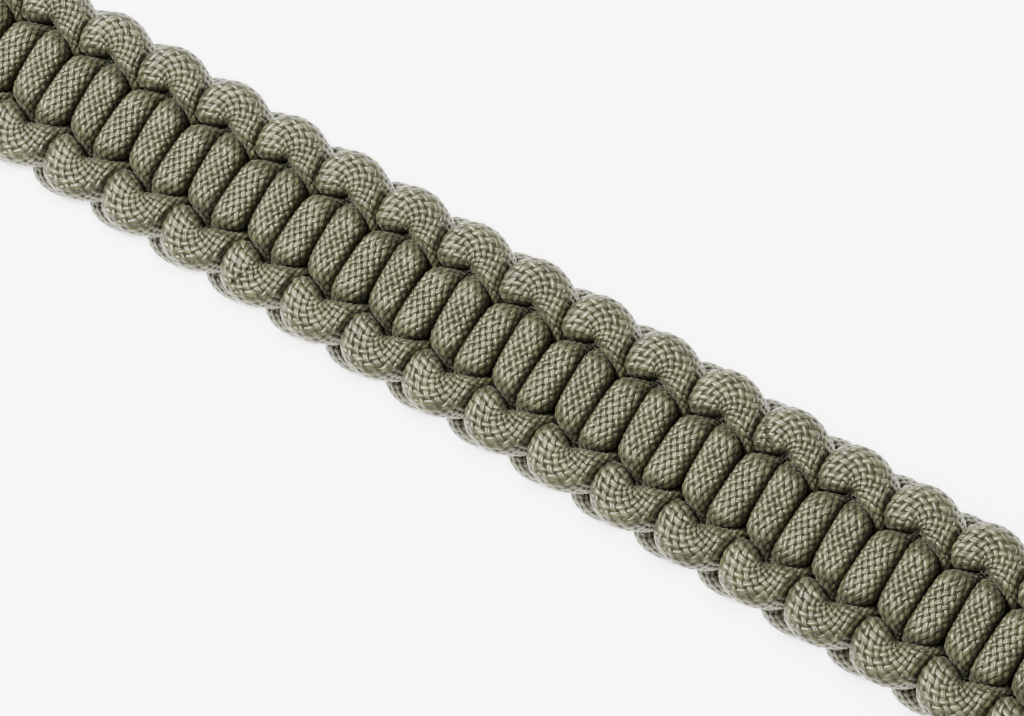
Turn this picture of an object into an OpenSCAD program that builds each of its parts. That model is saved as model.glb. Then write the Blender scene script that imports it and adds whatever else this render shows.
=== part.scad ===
// Paracord bracelet in a cobra weave, opened out and lying straight, face up.
// Two working cords are knotted round the two strands of a core cord. The core cord
// ends in an eye, and the stopper knot at the other end buttons into it. +X runs
// along the band towards the eye, +Y across it, and +Z is the face. The stopper knot
// and the weave rest on z = 0, and the middle of the whole length is at x = 0.

/* [Cord] */
// Diameter of the cord where nothing presses on it
cord_d = 4; // [3:0.1:5]
// Share of that diameter which is left, as thickness, where the knots squeeze it
squeeze = 0.71; // [0.6:0.01:0.72]
// Clearance between cords that lie against each other
cord_gap = 0.2; // [0.16:0.02:0.4]

/* [Weave] */
// Number of whole knots, each one two crossings of each working cord
knots = 22; // [6:1:30]

/* [Eye] */
// Clear length of the eye along the band
eye_len = 15; // [11:0.5:25]
// Clear width of the eye
eye_w = 8.5; // [7:0.5:12]

/* [Stopper knot] */
// Diameter of the stopper knot
stopper_d = 12; // [11:0.5:16]
// Bare length between the stopper knot and the first crossing of the weave
stopper_neck = 8; // [7:0.5:14]
// Depth that the four strands reach into the stopper knot
stopper_grip = 3; // [2:0.5:4]

/* [Hidden] */

// Every tube has this many sides, with a flat one below
sides = 8;
flat = cos(180 / sides);

// Thickness of a squeezed cord, and the distance between two that lie together
tight_d = cord_d * squeeze;
lay = tight_d + cord_gap;

// Crossings on the face lie side by side, one cord diameter apart
crossing_step = cord_d;
crossings = 2 * knots;
weave_len = crossings * crossing_step;

// The core's two strands part at the crotch of the eye and meet round its tip, and
// they stand a little apart in the stopper knot
eye_crotch = weave_len + crossing_step;
eye_tip = eye_crotch + eye_len + cord_d / 2;
eye_r = (eye_w + cord_d) / 2;
eye_spread = eye_tip - eye_r - eye_crotch;
grip_y = 0.64 * lay;

// The stopper knot, measured back from the first crossing
stopper_x = -stopper_neck - stopper_d / 2;
grip_x = -stopper_neck - stopper_grip;

// Half way between the far side of the stopper knot and the tip of the eye
middle_x = (stopper_x - stopper_d / 2 + eye_tip + cord_d / 2) / 2;

function unit(v) = v / norm(v);
function ease(t) = t <= 0 ? 0 : t >= 1 ? 1 : t * t * (3 - 2 * t);

// One crossing of the face cord, from the middle of the band out to its edge, round
// the back of that edge and up again to the middle of the next crossing. along is a
// share of crossing_step, across and up are shares of lay, width is a share of
// tight_d, and turn is where the cord's thin side looks: 0 outwards, 90 to the face.
ALONG = 0;
ACROSS = 1;
UP = 2;
WIDTH = 3;
TURN = 4;
crossing = [
    // along, across, up, width, turn
    [-0.11, 1.02,  1.00, 1.13,   84],
    [-0.22, 1.95,  0.58, 0.93,   55],
    [ 0.01, 2.66, -0.30, 0.93,   25],
    [ 0.70, 3.06, -0.92, 1.24,  -40],
    [ 1.37, 2.66, -0.99, 1.16, -115],
    [ 1.54, 1.86, -0.44, 0.92, -143],
    [ 1.17, 1.46,  0.42, 0.93, -138],
    [ 1.06, 0.72,  1.01, 1.10, -100]
];
// From the neck to the first crossing, where the cord lies along the core at first
lead_in = [
    [-1.20, -0.10,  1.02, 1.00,   90],
    [-0.70, -0.56,  1.06, 1.06,   90],
    [-0.14, -0.60,  1.04, 1.12,   90]
];
// The last crossing is cut off under the last bight, and melted to a blunt tip
melted_tip = [
    [ 0.02, 2.58, -0.18, 0.93,   25],
    [ 0.12, 2.74, -0.38, 0.50,   25]
];

// A row of a table as a place on the face cord, at crossing number m
function place(row, m) = [
    (m + row[ALONG]) * crossing_step,
    (m % 2 == 0 ? 1 : -1) * row[ACROSS] * lay,
    row[UP] * lay
];
function thin_side(row, m) = [0, cos(row[TURN]), (m % 2 == 0 ? 1 : -1) * sin(row[TURN])];

// A ring is its place about the core's middle, its thin side, width and thickness
function ring(row, m) = [
    place(row, m), thin_side(row, m), row[WIDTH] * tight_d, min(row[WIDTH], 1) * tight_d
];
working_rings = concat(
    [for (x = [grip_x, -stopper_neck]) [[x, 0, lay], [0, 0, 1], tight_d, tight_d]],
    [for (row = lead_in) ring(row, 0)],
    [for (m = [0 : crossings - 1]) for (row = crossing) ring(row, m)],
    [for (r = [0, 1]) ring(crossing[r], crossings)],
    [for (row = melted_tip) ring(row, crossings)]
);

// The back cord is the face cord turned half round about the length of the band
function turned(rings, half_turn) = half_turn
    ? [for (r = rings) [[r[0].x, -r[0].y, -r[0].z], [0, -r[1].y, -r[1].z], r[2], r[3]]]
    : rings;

// One strand of the core, from the stopper knot to the tip of the eye
function core_ring(x, y, t) = let (d = tight_d + (cord_d - tight_d) * ease(t))
    [[x, y, 0], [0, 0, 1], d, d];
core_strand = concat(
    [for (x = [grip_x, -stopper_neck]) core_ring(x, grip_y, 0)],
    [for (row = lead_in) core_ring(row[ALONG] * crossing_step, lay / 2, 0)],
    [core_ring(eye_crotch - crossing_step / 2, lay / 2, 0)],
    [for (t = [0 : 0.2 : 1])
        core_ring(eye_crotch + t * eye_spread, lay / 2 + (eye_r - lay / 2) * ease(t), 2 * t)],
    [for (a = [18 : 18 : 90])
        core_ring(eye_tip - eye_r + eye_r * sin(a), eye_r * cos(a), 1)]
);
core_rings = concat(
    core_strand,
    [for (i = [len(core_strand) - 2 : -1 : 0])
        let (r = core_strand[i]) [[r[0].x, -r[0].y, 0], r[1], r[2], r[3]]]
);

// The corners of the rings, about the middles in path
function corners(rings, path) = let (last = len(rings) - 1) [
    for (i = [0 : last])
        let (
            forward = unit(path[min(i + 1, last)] - path[max(i - 1, 0)]),
            side = rings[i][1],
            thin = unit(side - (side * forward) * forward),
            wide = cross(forward, thin)
        )
        for (j = [0 : sides - 1])
            let (a = (j + 0.5) * 360 / sides)
            path[i] + (wide * cos(a) * rings[i][2] + thin * sin(a) * rings[i][3]) / 2
];

// Half the thickness of the weave is the height of its highest corner over the core
weave_rings = [for (r = working_rings) if (r[0].x > -crossing_step / 4) r];
half_t = max([for (p = corners(weave_rings, [for (r = weave_rings) r[0]])) p.z]);

// Height of the core's middle over the surface: it climbs to the middle of the
// stopper knot at one end, and sinks until the eye lies down at the other
function core_height(x) = half_t
    + (stopper_d / 2 - half_t) * ease(-x / stopper_neck)
    + (cord_d / 2 * flat - half_t) * ease((x - eye_crotch) / (eye_tip - eye_crotch));

// The closed tube through a list of rings, laid along the core's line
module tube(rings) {
    last = len(rings) - 1;
    walls = [
        for (i = [0 : last - 1]) for (j = [0 : sides - 1])
            let (a = i * sides + j, b = i * sides + (j + 1) % sides)
            [a, b, b + sides, a + sides]
    ];
    polyhedron(
        points = corners(rings, [for (r = rings) r[0] + [0, 0, core_height(r[0].x)]]),
        faces = concat(
            [[for (j = [0 : sides - 1]) sides - 1 - j]],
            [for (w = walls) [w[0], w[1], w[2]]],
            [for (w = walls) [w[0], w[2], w[3]]],
            [[for (j = [0 : sides - 1]) last * sides + j]]
        )
    );
}

module laid_out() {
    translate([-middle_x, 0, 0]) children();
}

module face_cord() {
    color("#6f7359") laid_out() tube(turned(working_rings, false));
}

module back_cord() {
    color("#676b52") laid_out() tube(turned(working_rings, true));
}

module core_cord() {
    color("#5d6149") laid_out() tube(core_rings);
}

// A ball with a blind socket for each of the four strands that come out of it
module stopper_knot() {
    socket_d = tight_d + 2 * cord_gap;
    color("#6b6f55") laid_out() translate([stopper_x, 0, stopper_d / 2])
        difference() {
            rotate([0, 0, 180]) sphere(d = stopper_d, $fn = 64);
            for (at = [[grip_y, 0], [-grip_y, 0], [0, lay], [0, -lay]])
                translate([stopper_d / 2 - stopper_grip - cord_gap, at.x, at.y])
                    rotate([0, 90, 0])
                        cylinder(d = socket_d, h = stopper_d, $fn = 32);
        }
}

face_cord();
back_cord();
core_cord();
stopper_knot();
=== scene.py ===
import math

import bpy
import numpy as np
from mathutils import Matrix, Vector


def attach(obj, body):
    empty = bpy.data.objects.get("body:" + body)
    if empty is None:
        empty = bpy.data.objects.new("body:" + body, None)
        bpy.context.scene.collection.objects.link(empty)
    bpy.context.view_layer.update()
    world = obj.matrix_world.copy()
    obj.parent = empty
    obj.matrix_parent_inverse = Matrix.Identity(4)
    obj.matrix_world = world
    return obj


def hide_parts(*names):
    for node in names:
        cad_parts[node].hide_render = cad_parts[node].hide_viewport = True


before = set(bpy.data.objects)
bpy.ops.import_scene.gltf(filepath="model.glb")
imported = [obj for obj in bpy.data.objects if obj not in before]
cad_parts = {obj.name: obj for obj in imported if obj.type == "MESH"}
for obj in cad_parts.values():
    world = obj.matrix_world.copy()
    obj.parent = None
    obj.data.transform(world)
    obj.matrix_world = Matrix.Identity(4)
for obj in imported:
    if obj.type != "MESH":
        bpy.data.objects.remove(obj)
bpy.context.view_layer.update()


# Table top and studio
# A plain sheet of white board that the bracelet lies on, which glows as a lit ground
# does, with a white surrounding. A soft box over the stopper knot's end gives light
# and shade, and a weak warm one fills in from beside the near edge.

board = (0.95, 0.95, 0.945)
board_size = 6
glow = (1, 1, 0.97)
glow_strength = 1.7
surround_strength = 1.25

bpy.ops.object.select_all(action="DESELECT")
bpy.ops.mesh.primitive_plane_add(size=board_size, location=(0, 0, 0))
floor = bpy.context.object
floor.name = "floor"
floor_paint = bpy.data.materials.new("white_board")
floor_paint.use_nodes = True
floor_shader = floor_paint.node_tree.nodes["Principled BSDF"]
floor_shader.inputs["Base Color"].default_value = (*board, 1)
floor_shader.inputs["Roughness"].default_value = 0.9
floor_shader.inputs["Specular IOR Level"].default_value = 0.2
floor_shader.inputs["Emission Color"].default_value = (*glow, 1)
floor_shader.inputs["Emission Strength"].default_value = glow_strength
floor.data.materials.append(floor_paint)

surround = bpy.data.worlds.new("studio")
bpy.context.scene.world = surround
surround.use_nodes = True
sky = surround.node_tree.nodes["Background"]
sky.inputs["Color"].default_value = (1, 1, 1, 1)
sky.inputs["Strength"].default_value = surround_strength


def soft_box(name, place, size, power, tint):
    """A square area light that looks at the middle of the band."""
    lamp = bpy.data.lights.new(name, "AREA")
    lamp.size = size
    lamp.energy = power
    lamp.color = tint
    holder = bpy.data.objects.new(name, lamp)
    holder.location = place
    holder.rotation_euler = (-Vector(place)).to_track_quat("-Z", "Y").to_euler()
    bpy.context.scene.collection.objects.link(holder)


soft_box("key_box", (-0.52, 0.02, 0.86), 0.35, 76, (1, 1, 1))
soft_box("low_box", (0.25, -0.8, 0.3), 0.6, 1, (1, 0.8, 0.5))


# Camera
# It looks down on the face of the band, leaning a little towards the near edge and
# the eye, and is turned so that the band runs down to the right.

tip = math.radians(4)
swing = math.radians(16.3)
roll = math.radians(30.7)
distance = 0.444
focal_pixels = 4168
photo_width = 1024
sensor_width = 36
nearest = 0.01
target = Vector((-0.0010, 0, 0.00443))
nudge_up = 0.00084
nudge_right = -0.00204

towards = Vector((
    math.sin(swing),
    -math.cos(swing) * math.sin(tip),
    math.cos(swing) * math.cos(tip),
))
along = (Vector((1, 0, 0)) - towards * towards.x).normalized()
above = towards.cross(along)
right = along * math.cos(roll) + above * math.sin(roll)
up = above * math.cos(roll) - along * math.sin(roll)
lens = bpy.data.cameras.new("camera")
lens.sensor_width = sensor_width
lens.lens = focal_pixels * sensor_width / photo_width
lens.clip_start = nearest
camera = bpy.data.objects.new("camera", lens)
turn = Matrix((right, up, towards)).transposed().to_4x4()
spot = target + right * nudge_right + up * nudge_up + towards * distance
camera.matrix_world = Matrix.Translation(spot) @ turn
bpy.context.scene.collection.objects.link(camera)
bpy.context.scene.camera = camera


# Working cords
# Two lengths of 4 mm parachute cord, a braided nylon sheath over inner yarns, knotted
# by hand round the core: one lies over the face at each crossing and round the back
# of the edge, and the other lies over the back and round the front of the edge.

# Sizes in mm, and places along the band from its first crossing
mm = 0.001
cord_d = 4.0
crossing_step = 4.0
crossings = 44
weave_len = crossings * crossing_step
middle_x = 89.5
half_t = 4.65
core_y = 1.5
stopper_d = 12.0
stopper_neck = 8.0
stopper_grip = 3.0
stopper_x = -stopper_neck - stopper_d / 2
grip_x = -stopper_neck - stopper_grip
eye_crotch = 180.0
eye_tip = 197.0
eye_w = 8.5
tight_lay = 3.0

# One crossing of the face cord, from the middle of the face out to the edge, round
# the back of that edge, and up again towards the middle of the next crossing
crossing = [
    # along, across, up from the middle of the core
    [0.00, 0.00, 2.85],
    [-0.20, 2.00, 2.65],
    [-0.36, 3.30, 1.80],
    [-0.46, 4.20, 0.60],
    [-0.54, 5.00, -0.45],
    [-0.64, 5.75, -1.45],
    [-0.55, 6.25, -2.45],
    [0.05, 6.95, -3.20],
    [1.05, 7.60, -3.35],
    [2.30, 7.70, -3.15],
    [3.40, 7.20, -2.75],
    [4.50, 6.35, -2.25],
    [5.40, 5.60, -1.60],
    [5.90, 4.80, -0.95],
    [5.85, 4.25, -0.30],
    [5.45, 3.85, 0.30],
    [4.95, 3.40, 1.00],
    [4.50, 2.80, 1.80],
    [4.20, 1.70, 2.60],
]
# Along the core from the neck, and the cut end that is melted under the last arch
lead_in = [[-4.8, -0.3, 2.90], [-2.8, -1.7, 2.85], [-0.8, -1.2, 2.82]]
melted_tip = [[-0.4, 6.2, 0.8], [-0.2, 7.3, 0.2]]
rows_to_tip = 4
steps_per_row = 12


def ease(t):
    """A soft step from 0 to 1."""
    t = np.clip(t, 0, 1)
    return t * t * (3 - 2 * t)


def core_height(x):
    """Height of the core's middle over the table, for a place along the weave."""
    rise = (stopper_d / 2 - half_t) * ease(-x / stopper_neck)
    sink = (cord_d / 2 - half_t) * ease((x - eye_crotch) / (eye_tip - eye_crotch))
    return half_t + rise + sink


def station(row, m):
    """One row of a table at crossing m."""
    side = 1 if m % 2 == 0 else -1
    return [m * crossing_step + row[0], side * row[1], row[2]]


def smooth(rows, per_span):
    """Catmull-Rom curve through rows of numbers, with per_span steps to each span."""
    p = np.array(rows, float)
    p = np.vstack([2 * p[0] - p[1], p, 2 * p[-1] - p[-2]])
    t = np.linspace(0, 1, per_span, endpoint=False)[:, None]
    out = []
    for i in range(1, len(p) - 2):
        a, b, c, d = p[i - 1], p[i], p[i + 1], p[i + 2]
        out.append(0.5 * (2 * b + (c - a) * t + (2 * a - 5 * b + 4 * c - d) * t * t
                          + (3 * b - a - 3 * c + d) * t ** 3))
    return np.vstack(out + [p[-2:-1]])


def run_of(line):
    """Distance along a line to each of its points."""
    steps = np.linalg.norm(np.diff(line, axis=0), axis=1)
    return np.concatenate([[0], np.cumsum(steps)])


def middle_line(rows):
    """The cord's middle line through rows, laid along the core, and its run in mm."""
    line = smooth(rows, steps_per_row)
    line[:, 2] += core_height(line[:, 0])
    return line, run_of(line)


# The cord's section: its radius where it is free and its area where it is squashed,
# how far it may swell sideways, and how round its corners are
free_r = 2.25
squashed_area = 15.6
widest_r = 3.0
blend = 3.5
spokes = 64
rounds_along = 2
rounds_about = 10
swell_tries = 4
swell_rounds = 6

# What a cord presses on: how far off that is looked for, how far along its own length
# a cord counts as another one, and the flat face over the tightened knots
reach_limit = 6.0
bend_run = 6.0
thinning = 4
lid_lift = 0.3
least_lid = 1.0
no_slope = 1e-3


def pressed(centre, looks, at, own, lines):
    """How far cord number own reaches from each centre along each look before it
    meets another cord half way, the table, or the flat of the tightened knots."""
    reach = np.full(looks.shape[:2], reach_limit)
    for k, (line, run) in enumerate(lines):
        for i in range(len(centre)):
            near = np.abs(line[:, 0] - centre[i, 0]) < reach_limit
            if k == own:
                near &= np.abs(run - at[i]) > bend_run
            gap = line[near] - centre[i]
            far = (gap ** 2).sum(1)
            close = far < reach_limit ** 2
            if close.any():
                facing = np.maximum(looks[i] @ gap[close].T, no_slope)
                reach[i] = np.minimum(reach[i], (far[close] / 2 / facing).min(1))
    x, height = centre[:, 0], centre[:, 2]
    fall = np.maximum(-looks[:, :, 2], no_slope)
    climb = np.maximum(looks[:, :, 2], no_slope)
    past_weave = np.maximum(np.abs(x - weave_len / 2) - weave_len / 2, 0)
    lid = 2 * core_height(x) + lid_lift + past_weave
    reach = np.minimum(reach, height[:, None] / fall)
    return np.minimum(reach, np.maximum(lid - height, least_lid)[:, None] / climb)


def averaged(values):
    """Each ring's value, but the end ones', averaged with its neighbours'."""
    values[1:-1] = (values[:-2] + 2 * values[1:-1] + values[2:]) / 4


def within(room, swell):
    """The smaller of room and swell at each spoke, with a round corner between them."""
    return (room ** -blend + swell[:, None] ** -blend) ** (-1 / blend)


def squashed(room):
    """The section that the cord takes in its room, as its reach along each spoke."""
    for _ in range(rounds_along):
        averaged(room)
    for _ in range(rounds_about):
        room = (np.roll(room, 1, 1) + 2 * room + np.roll(room, -1, 1)) / 4
    # Where it is squashed one way it swells the other way, to about the same area
    swell = np.full(len(room), free_r)
    for _ in range(swell_tries):
        reach = within(room, swell)
        area = (reach * np.roll(reach, -1, 1)).sum(1) * math.sin(2 * math.pi / spokes) / 2
        swell = np.clip(swell * np.sqrt(squashed_area / area), free_r, widest_r)
        for _ in range(swell_rounds):
            averaged(swell)
    return within(room, swell)


# The sheath's braid: yarns each way round, length of a pick, and the height of a pick's
# middle over its corners, with the share of it that the pick's edges have. Rings are a
# quarter pick apart, and where the cord is hidden only every ninth is drawn.
columns = 14
pick_length = 0.88
relief = 0.16
edge_share = 0.6
around = 2 * columns
ring_step = pick_length / 4
rings_past_ends = 60
every_hidden = 9
start_look = (0.1, 0.3, 1.0)
whole_cord = 1e6


def ring_numbers(line, run, start, stop, hidden):
    """Numbers of a stretch's rings, even and odd in turn from an even one to an even
    one. Some lie past its ends, and the second list says which are its own."""
    last_of_all = 2 * math.floor(run[-1] / ring_step / 2)
    first = 2 * math.ceil(start / ring_step / 2)
    last = min(2 * math.ceil(stop / ring_step / 2), last_of_all)
    number = np.arange(max(first - rings_past_ends, 0),
                       min(last + rings_past_ends, last_of_all) + 1)
    x = np.interp(number * ring_step, run, line[:, 0])
    number = number[(x < hidden[0]) | (x > hidden[1]) | (number % every_hidden == 0)]
    parity = number % 2
    number = number[np.concatenate([[True], parity[1:] != parity[:-1]])]
    if len(number) % 2 == 0:
        number = number[:-1]
    return number, (number >= first) & (number <= last)


def unit(v):
    """Each row of v at length one."""
    return v / np.linalg.norm(v, axis=1)[:, None]


def untwisted(line):
    """Ways forward and sideways at each point of a line. The braid isn't twisted, so
    the way sideways is carried along without turning."""
    forward = unit(np.gradient(line, axis=0))
    sideways = np.empty_like(line)
    look = np.array(start_look)
    for i in range(len(line)):
        look = look - (look @ forward[i]) * forward[i]
        look = look / np.linalg.norm(look)
        sideways[i] = look
    return forward, sideways


def braid_ring(reach, angle, turns, at):
    """Corners of each ring in its own plane, with the relief of the picks. They lie
    in equal steps round the squashed section, so that the picks keep their width."""
    angle = np.append(angle, 2 * math.pi)
    reach = np.append(reach, reach[:, :1], axis=1)
    x, y = reach * np.cos(angle), reach * np.sin(angle)
    far = np.zeros_like(reach)
    far[:, 1:] = np.cumsum(np.hypot(np.diff(x, axis=1), np.diff(y, axis=1)), 1)
    ring = np.empty((len(at), around, 2))
    for i in range(len(at)):
        ring[i, :, 0] = np.interp(turns[i] * far[i, -1], far[i], x[i])
        ring[i, :, 1] = np.interp(turns[i] * far[i, -1], far[i], y[i])
    slope = np.roll(ring, -1, axis=1) - np.roll(ring, 1, axis=1)
    out = np.stack([slope[:, :, 1], -slope[:, :, 0]], 2)
    out /= np.linalg.norm(out, axis=2)[:, :, None]
    # 0 for a pick's corner, 1 for an edge of it and 2 for its middle
    p = turns * columns + at[:, None] / pick_length
    q = turns * columns - at[:, None] / pick_length
    place = ((np.round(2 * p) % 2) + (np.round(2 * q) % 2)).astype(int)
    rise = np.choose(place, (0, edge_share, 1)) * relief - relief / 2
    return ring + out * rise[:, :, None]


def braided_tube(name, own, lines, start=0, stop=whole_cord, hidden=(0, 0)):
    """The stretch start to stop, in mm along it, of braided cord number own of lines,
    with fewer rings between the two x in hidden. Every second ring is shifted round by
    half a step, so that the faces run with the yarns, four to each pick."""
    line, run = lines[own]
    number, own_rings = ring_numbers(line, run, start, stop, hidden)
    at = number * ring_step
    centre, ahead, first = (
        np.stack([np.interp(at, run, values[:, k]) for k in range(3)], 1)
        for values in (line, *untwisted(line)))
    first = unit(first)
    second = np.cross(unit(ahead), first)
    angle = np.arange(spokes) * 2 * math.pi / spokes
    looks = (first[:, None] * np.cos(angle)[None, :, None]
             + second[:, None] * np.sin(angle)[None, :, None])
    sparse = [(path[::thinning], length[::thinning]) for path, length in lines]
    reach = squashed(pressed(centre, looks, at, own, sparse))
    # The rings past the ends only let the section run on smoothly into the next length
    at, centre, first, second, reach = (
        values[own_rings] for values in (at, centre, first, second, reach))
    n = len(at)
    turns = (np.arange(around)[None] + 0.5 * (np.arange(n) % 2)[:, None]) / around
    ring = braid_ring(reach, angle, turns, at)
    points = (centre[:, None] + ring[:, :, :1] * first[:, None]
              + ring[:, :, 1:] * second[:, None])
    points[:, :, 0] -= middle_x
    ends = np.stack([points[0].mean(0), points[-1].mean(0)])
    verts = np.vstack([points.reshape(-1, 3), ends]) * mm

    # Quads with the yarns, a row of triangles at each end, and a cap on each row
    i, j = np.meshgrid(np.arange(n - 2), np.arange(around), indexing="ij")
    left = np.where(i % 2 == 0, j - 1, j) % around
    beyond = np.where(i % 2 == 0, j, j + 1) % around
    quads = np.stack([i * around + j, (i + 1) * around + beyond,
                      (i + 2) * around + j, (i + 1) * around + left], -1)
    k = np.arange(around)
    after = (k + 1) % around
    top = (n - 1) * around
    rims = np.concatenate([
        np.stack([k, after, around + k], 1),
        np.stack([top - around + k, top + after, top + k], 1),
        np.stack([np.full(around, n * around), after, k], 1),
        np.stack([np.full(around, n * around + 1), top + k, top + after], 1)])
    mesh = bpy.data.meshes.new(name)
    mesh.from_pydata(verts.tolist(), [], quads.reshape(-1, 4).tolist() + rims.tolist())
    in_caps = np.arange(len(mesh.polygons)) >= len(mesh.polygons) - 2 * around
    mesh.polygons.foreach_set("use_smooth", ~in_caps)

    # The UV map: turns round the cord, plus one, and metres along it
    half = 0.5 / around
    base = 1 + (j + 0.5 * (i % 2)) / around
    quad_u = np.stack([base, base + half, base, base - half], -1).reshape(-1)
    quad_v = np.stack([at[i], at[i + 1], at[i + 2], at[i + 1]], -1).reshape(-1)
    rim = 1 + k / around
    rim_u = np.vstack([np.stack([rim, rim + 2 * half, rim + half], 1),
                       np.stack([rim + half, rim + 2 * half, rim], 1),
                       np.ones((2 * around, 3))])
    rim_v = np.repeat([[at[0], at[0], at[1]], [at[-2], at[-1], at[-1]],
                       [ring_step] * 3, [ring_step] * 3], around, axis=0)
    coords = np.stack([np.append(quad_u, rim_u), np.append(quad_v, rim_v) * mm], 1)
    braid_map = mesh.uv_layers.new(name="braid")
    braid_map.data.foreach_set("uv", coords.reshape(-1).astype(np.float32))
    mesh.update()
    piece = bpy.data.objects.new(name, mesh)
    bpy.context.scene.collection.objects.link(piece)
    return piece


# A yarn's form and threads, the painted shade on the picks' flanks and in their crevices and
# on the second set of yarns, and the picks' own tones
yarn_roundness = 2.2
yarn_wave = 0.45
threads_per_yarn = 4
thread_height = 0.04
crevice_shade_below = 0.45
flank_shade_at = 0.78
pick_variety = 0.7
patch_scale = 320
patch_detail = 3
patch_variety = 0.5
plain_shade = 0.6
second_set_painted_shade = 0.32
yarn_height = 0.0002
warm_glint = (1, 0.97, 0.8, 1)


def cord_with_painted_shade(name, top, flank_shade, crevice_shade):
    """Braided nylon: yarn tops in the cord's colour, painted shade on the flanks and in the
    crevices and on one set of yarns, fine threads and a soft sheen.
    """
    paint = bpy.data.materials.new(name)
    paint.use_nodes = True
    nodes, links = paint.node_tree.nodes, paint.node_tree.links
    shader = nodes["Principled BSDF"]

    def calc(operation, a, b=None, clamp=False):
        node = nodes.new("ShaderNodeMath")
        node.operation = operation
        node.use_clamp = clamp
        for socket, value in zip(node.inputs, (a, b)):
            if isinstance(value, (int, float)):
                socket.default_value = value
            elif value is not None:
                links.new(value, socket)
        return node.outputs[0]

    # The same picks as in the mesh, from its own UV map: turns round, metres along
    uv = nodes.new("ShaderNodeUVMap")
    uv.uv_map = "braid"
    split = nodes.new("ShaderNodeSeparateXYZ")
    links.new(uv.outputs["UV"], split.inputs["Vector"])
    u = calc("MULTIPLY", split.outputs["X"], columns)
    v = calc("MULTIPLY", split.outputs["Y"], 1000 / pick_length)
    p = calc("ADD", u, v)
    q = calc("SUBTRACT", u, v)
    cell_p = calc("FLOOR", p)
    cell_q = calc("FLOOR", q)

    def yarn(own_cell, across, along, way):
        """Height of one set of yarns: round across, and over and under along."""
        off_middle = calc("SUBTRACT", calc("MULTIPLY", calc("FRACT", across), 2), 1)
        over = calc("SUBTRACT", 1, calc("MULTIPLY", calc("FLOORED_MODULO", own_cell, 2), 2))
        wave = calc("MULTIPLY", over, calc("SINE", calc("MULTIPLY", along, math.pi)))
        fall = calc("POWER", calc("ABSOLUTE", off_middle), yarn_roundness)
        return calc("ADD", calc("MULTIPLY", wave, way * yarn_wave), calc("SUBTRACT", 1, fall))

    first_set = yarn(cell_p, p, q, 1)
    second_set = yarn(cell_q, q, p, -1)
    other = calc("GREATER_THAN", second_set, first_set)
    height = calc("DIVIDE", calc("MAXIMUM", first_set, second_set), 1 + yarn_wave, True)

    # Fine threads that run along each yarn
    across = calc("ADD", p, calc("MULTIPLY", other, calc("SUBTRACT", q, p)))
    threads = calc("SINE", calc("MULTIPLY", across, 2 * math.pi * threads_per_yarn))
    high = calc("ADD", height, calc("MULTIPLY", threads, thread_height))

    # Each pick has a shade of its own, and the cord is a little patchy
    key = nodes.new("ShaderNodeCombineXYZ")
    links.new(cell_p, key.inputs["X"])
    links.new(cell_q, key.inputs["Y"])
    shade = nodes.new("ShaderNodeTexWhiteNoise")
    links.new(key.outputs["Vector"], shade.inputs["Vector"])
    place = nodes.new("ShaderNodeTexCoord")
    patches = nodes.new("ShaderNodeTexNoise")
    patches.inputs["Scale"].default_value = patch_scale
    patches.inputs["Detail"].default_value = patch_detail
    links.new(place.outputs["Object"], patches.inputs["Vector"])
    # Painted shade: by the height of the yarns, the colour goes from the tops' colour through
    # darker flanks to dark crevices, where shade falls
    painted_shade_ramp = nodes.new("ShaderNodeValToRGB")
    painted_shade_ramp.color_ramp.elements[0].position = crevice_shade_below
    painted_shade_ramp.color_ramp.elements[0].color = (*crevice_shade, 1)
    painted_shade_ramp.color_ramp.elements[1].position = 1.0
    painted_shade_ramp.color_ramp.elements[1].color = (*top, 1)
    painted_shade_ramp.color_ramp.elements.new(flank_shade_at).color = (*flank_shade, 1)
    links.new(height, painted_shade_ramp.inputs["Fac"])
    uneven = calc("MULTIPLY", calc("POWER", shade.outputs["Value"], 2), pick_variety)
    vary = calc("ADD", uneven, calc("MULTIPLY", patches.outputs["Fac"], patch_variety))
    # Painted shade: the second set of yarns is painted darker than the first, standing in for
    # the light catching one set less than the other
    dimmed = calc("SUBTRACT", vary, calc("MULTIPLY", other, second_set_painted_shade))
    bright = calc("ADD", dimmed, plain_shade)
    tint = nodes.new("ShaderNodeMix")
    tint.data_type = "RGBA"
    tint.blend_type = "MULTIPLY"
    tint.inputs["Factor"].default_value = 1
    grey = nodes.new("ShaderNodeCombineColor")
    for channel in ("Red", "Green", "Blue"):
        links.new(bright, grey.inputs[channel])
    links.new(painted_shade_ramp.outputs["Color"], tint.inputs[6])
    links.new(grey.outputs["Color"], tint.inputs[7])
    links.new(tint.outputs[2], shader.inputs["Base Color"])

    bump = nodes.new("ShaderNodeBump")
    bump.inputs["Strength"].default_value = 1.0
    bump.inputs["Distance"].default_value = yarn_height
    links.new(high, bump.inputs["Height"])
    links.new(bump.outputs["Normal"], shader.inputs["Normal"])

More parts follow.
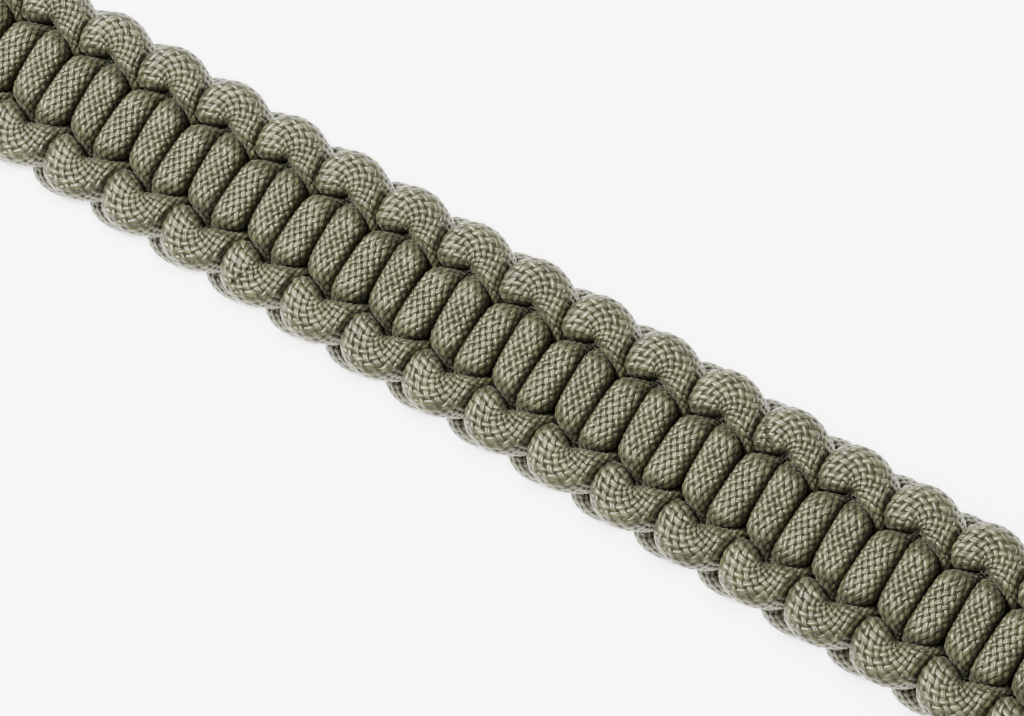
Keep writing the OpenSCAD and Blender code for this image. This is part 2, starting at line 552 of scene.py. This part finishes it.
    # The glint lies across the yarns: one set of them runs half way between turns round
    # and length, and the other set at right angles to it
    round_way = nodes.new("ShaderNodeTangent")
    round_way.direction_type = "UV_MAP"
    round_way.uv_map = "braid"
    facing = nodes.new("ShaderNodeNewGeometry")
    long_way = nodes.new("ShaderNodeVectorMath")
    long_way.operation = "CROSS_PRODUCT"
    links.new(facing.outputs["Normal"], long_way.inputs[0])
    links.new(round_way.outputs["Tangent"], long_way.inputs[1])
    slant = nodes.new("ShaderNodeVectorMath")
    slant.operation = "SCALE"
    links.new(long_way.outputs["Vector"], slant.inputs[0])
    links.new(calc("SUBTRACT", calc("MULTIPLY", other, 2), 1), slant.inputs["Scale"])
    yarn_way = nodes.new("ShaderNodeVectorMath")
    links.new(round_way.outputs["Tangent"], yarn_way.inputs[0])
    links.new(slant.outputs["Vector"], yarn_way.inputs[1])
    links.new(yarn_way.outputs["Vector"], shader.inputs["Tangent"])
    shader.inputs["Anisotropic"].default_value = 0.85
    shader.inputs["Metallic"].default_value = 0.3
    shader.inputs["Roughness"].default_value = 0.33
    shader.inputs["Specular IOR Level"].default_value = 0.36
    shader.inputs["Specular Tint"].default_value = warm_glint
    shader.inputs["Sheen Weight"].default_value = 0.06
    shader.inputs["Sheen Roughness"].default_value = 0.4
    shader.inputs["Sheen Tint"].default_value = warm_glint
    return paint


working = [[grip_x, 0, tight_lay], [-stopper_neck, 0, tight_lay]] + lead_in
working += [station(row, m) for m in range(crossings) for row in crossing]
working += [station(row, crossings) for row in crossing[:rows_to_tip] + melted_tip]
turned_over = [[x, -y, -z] for x, y, z in working]

# The core's strand from the stopper knot to the tip of the eye, and back again
core_grip = 2.5
strand_step = 6
eye_r = (eye_w + cord_d) / 2
spread = eye_tip - eye_r - eye_crotch
strand = [[x, core_y, 0] for x in (stopper_x + core_grip, grip_x, -stopper_neck)]
strand += [[x, core_y, 0] for x in range(0, int(eye_crotch), strand_step)]
strand += [[eye_crotch + t * spread, core_y + (eye_r - core_y) * ease(t), 0]
           for t in (0, 0.2, 0.4, 0.6, 0.8, 1)]
strand += [[eye_tip - eye_r + eye_r * math.sin(a), eye_r * math.cos(a), 0]
           for a in np.radians([18, 36, 54, 72, 90])]
core = strand + [[x, -y, z] for x, y, z in strand[-2::-1]]

lines = [middle_line(working), middle_line(turned_over), middle_line(core)]

# The yarn tops' colour, and the painted shade of the flanks and the crevices
yarn_tops = (0.050, 0.050, 0.026)
flank_painted_shade = (0.030, 0.031, 0.015)
crevice_painted_shade = (0.013, 0.013, 0.006)
cord_and_painted_shade = cord_with_painted_shade("olive_cord_painted_shade", yarn_tops, flank_painted_shade, crevice_painted_shade)
# Each cord is laid in three lengths, end to end
lengths = 3
for own, node in enumerate(("face_cord", "back_cord")):
    share = lines[own][1][-1] / lengths
    for part in range(lengths):
        start, stop = part * share, (part + 1) * share
        piece = braided_tube(f"{node}_{part + 1}", own, lines, start, stop)
        piece.data.materials.append(cord_and_painted_shade)
        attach(piece, "root")
        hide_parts(node)


# Core cord and eye
# The same cord: two strands inside the weave, and past its end the bight between them,
# left open as the eye that the stopper knot goes through.

inside_weave = (4, 172)
piece = braided_tube("core_cord_1", 2, lines, hidden=inside_weave)
piece.data.materials.append(cord_and_painted_shade)
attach(piece, "root")
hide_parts("core_cord")


# Stopper knot
# A button knot that is tied in the ends of the cord: three passes round the ball with
# four bights at each end, each pass over and under the next in turn.

knot_r = 3.4
knot_swell = 0.85
knot_lean = math.radians(52)
knot_start = math.radians(150)
knot_points = 700
passes = 3
bights = 4
t = np.linspace(0, 1, knot_points)
turn_round = 2 * math.pi * passes * t
weave_phase = 2 * math.pi * bights * t + knot_start
lean = knot_lean * np.sin(weave_phase)
out_r = knot_r + knot_swell * np.sin(2 * weave_phase)
knot = np.stack([
    stopper_x + out_r * np.sin(lean),
    out_r * np.cos(lean) * np.cos(turn_round),
    stopper_d / 2 + out_r * np.cos(lean) * np.sin(turn_round),
], 1)
knot_run = run_of(knot)
piece = braided_tube("stopper_knot_1", 3, lines + [(knot, knot_run)])
piece.data.materials.append(cord_and_painted_shade)
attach(piece, "root")
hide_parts("stopper_knot")

# The cord's ends fill the middle of the knot, pressed against the passes round them
heart_r = 4.4
clearance = 0.08
centre = np.array([stopper_x, 0, stopper_d / 2])
bpy.ops.mesh.primitive_uv_sphere_add(segments=72, ring_count=48, radius=1)
heart = bpy.context.object
heart.name = heart.data.name = "stopper_knot_2"
ways = np.array([v.co.normalized() for v in heart.data.vertices])
room = pressed(centre[None], ways[None], [0], -1, [(knot, knot_run)])[0] - clearance
swollen = centre + ways * np.minimum(room, heart_r)[:, None] - [middle_x, 0, 0]
heart.data.vertices.foreach_set("co", (swollen * mm).ravel())
heart_map = heart.data.uv_layers[0]
heart_map.name = "braid"
wound = np.empty(2 * len(heart.data.loops), np.float32)
heart_map.data.foreach_get("uv", wound)
wound[::2] += 1
wound[1::2] *= math.pi * heart_r * mm
heart_map.data.foreach_set("uv", wound)
heart.data.materials.append(cord_and_painted_shade)
heart.data.polygons.foreach_set("use_smooth", np.ones(len(heart.data.polygons), bool))
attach(heart, "root")
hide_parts("stopper_knot")
